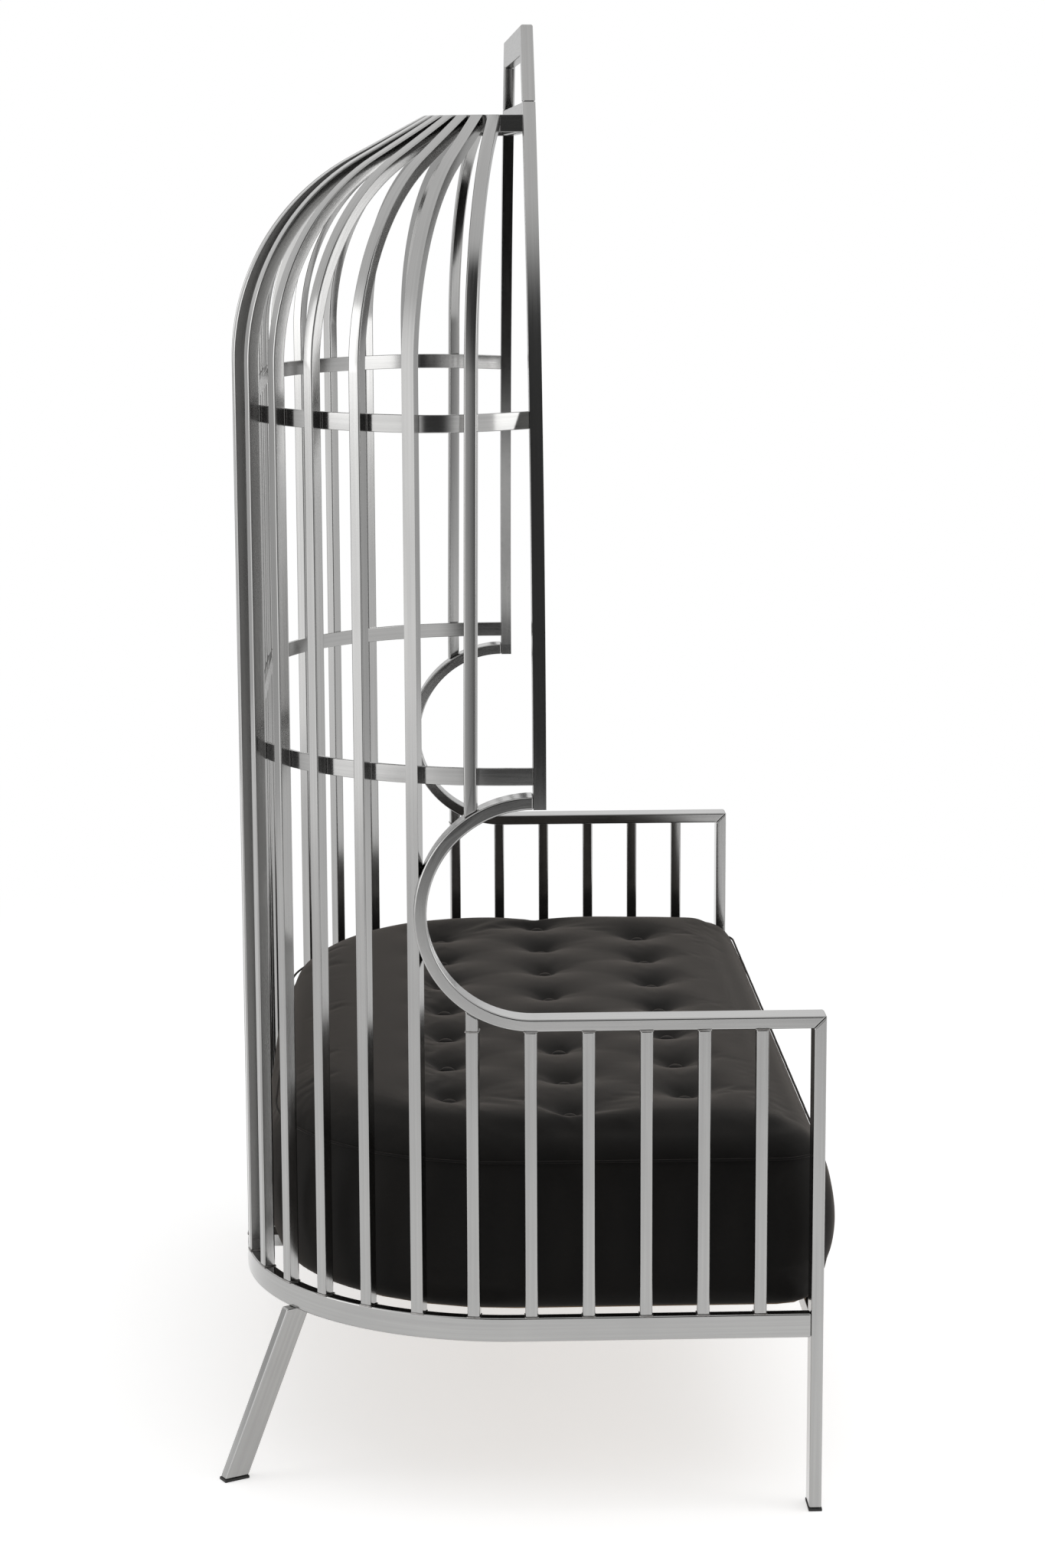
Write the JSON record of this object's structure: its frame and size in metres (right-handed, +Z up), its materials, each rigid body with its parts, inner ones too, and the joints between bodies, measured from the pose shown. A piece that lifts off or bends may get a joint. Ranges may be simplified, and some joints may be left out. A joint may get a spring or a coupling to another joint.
{
  "type": "two-seat sofa",
  "caption": "Two-seat sofa in a tall birdcage frame of steel bars, with C-shaped arms, a domed hood with a loop on top, splayed back legs and a deep-buttoned seat pad.",
  "frame": {"origin": "on the floor under the middle of the sofa's bounding box", "axes": "+Z up, the sofa faces -Y, +X to the sofa's own left-hand arm as seen from the front on the right"},
  "size_m": [1.4116, 0.8096, 1.892],
  "materials": {
    "steel": "polished stainless steel tube and bar with a fine grain",
    "glides": "matt black",
    "screws": "plain steel",
    "plywood": "bare birch plywood, hidden",
    "foam": "open seat foam, hidden",
    "velvet": "dark brown-black velvet",
    "piping": "dark covered cord",
    "buttons": "buttons covered in the velvet"
  },
  "bodies": {
    "root": {"base_ring": "steel", "front_rail": "steel", "front_post_left": "steel", "front_post_right": "steel", "back_leg_left": "steel", "back_leg_right": "steel", "arm_bow_left": "steel", "arm_bow_right": "steel", "arm_upright_left_1": "steel", "arm_upright_left_2": "steel", "arm_upright_left_3": "steel", "arm_upright_left_4": "steel", "arm_upright_left_5": "steel", "arm_upright_left_6": "steel", "arm_upright_right_1": "steel", "arm_upright_right_2": "steel", "arm_upright_right_3": "steel", "arm_upright_right_4": "steel", "arm_upright_right_5": "steel", "arm_upright_right_6": "steel", "cage_rib_1": "steel", "cage_rib_2": "steel", "cage_rib_3": "steel", "cage_rib_4": "steel", "cage_rib_5": "steel", "cage_rib_6": "steel", "cage_rib_7": "steel", "cage_rib_8": "steel", "cage_rib_9": "steel", "cage_rib_10": "steel", "cage_rib_11": "steel", "cage_rib_12": "steel", "cage_rib_13": "steel", "cage_rib_14": "steel", "cage_rib_15": "steel", "cage_rib_16": "steel", "cage_rib_17": "steel", "cage_rib_18": "steel", "cage_rib_19": "steel", "cage_rib_20": "steel", "cage_rib_21": "steel", "cage_rib_22": "steel", "hood_rib_left": "steel", "hood_rib_right": "steel", "hood_front_left": "steel", "hood_front_right": "steel", "crown_bar": "steel", "crown_loop": "steel", "crown_hoop": "steel", "upper_hoop": "steel", "lower_hoop": "steel", "seat_bearers": "steel", "glides": "glides", "seat_screws": "screws", "seat_board": "plywood", "seat_foam": "foam", "seat_cover": "velvet", "seat_piping": "piping", "seat_buttons": "buttons"}
  },
  "joints": []
}
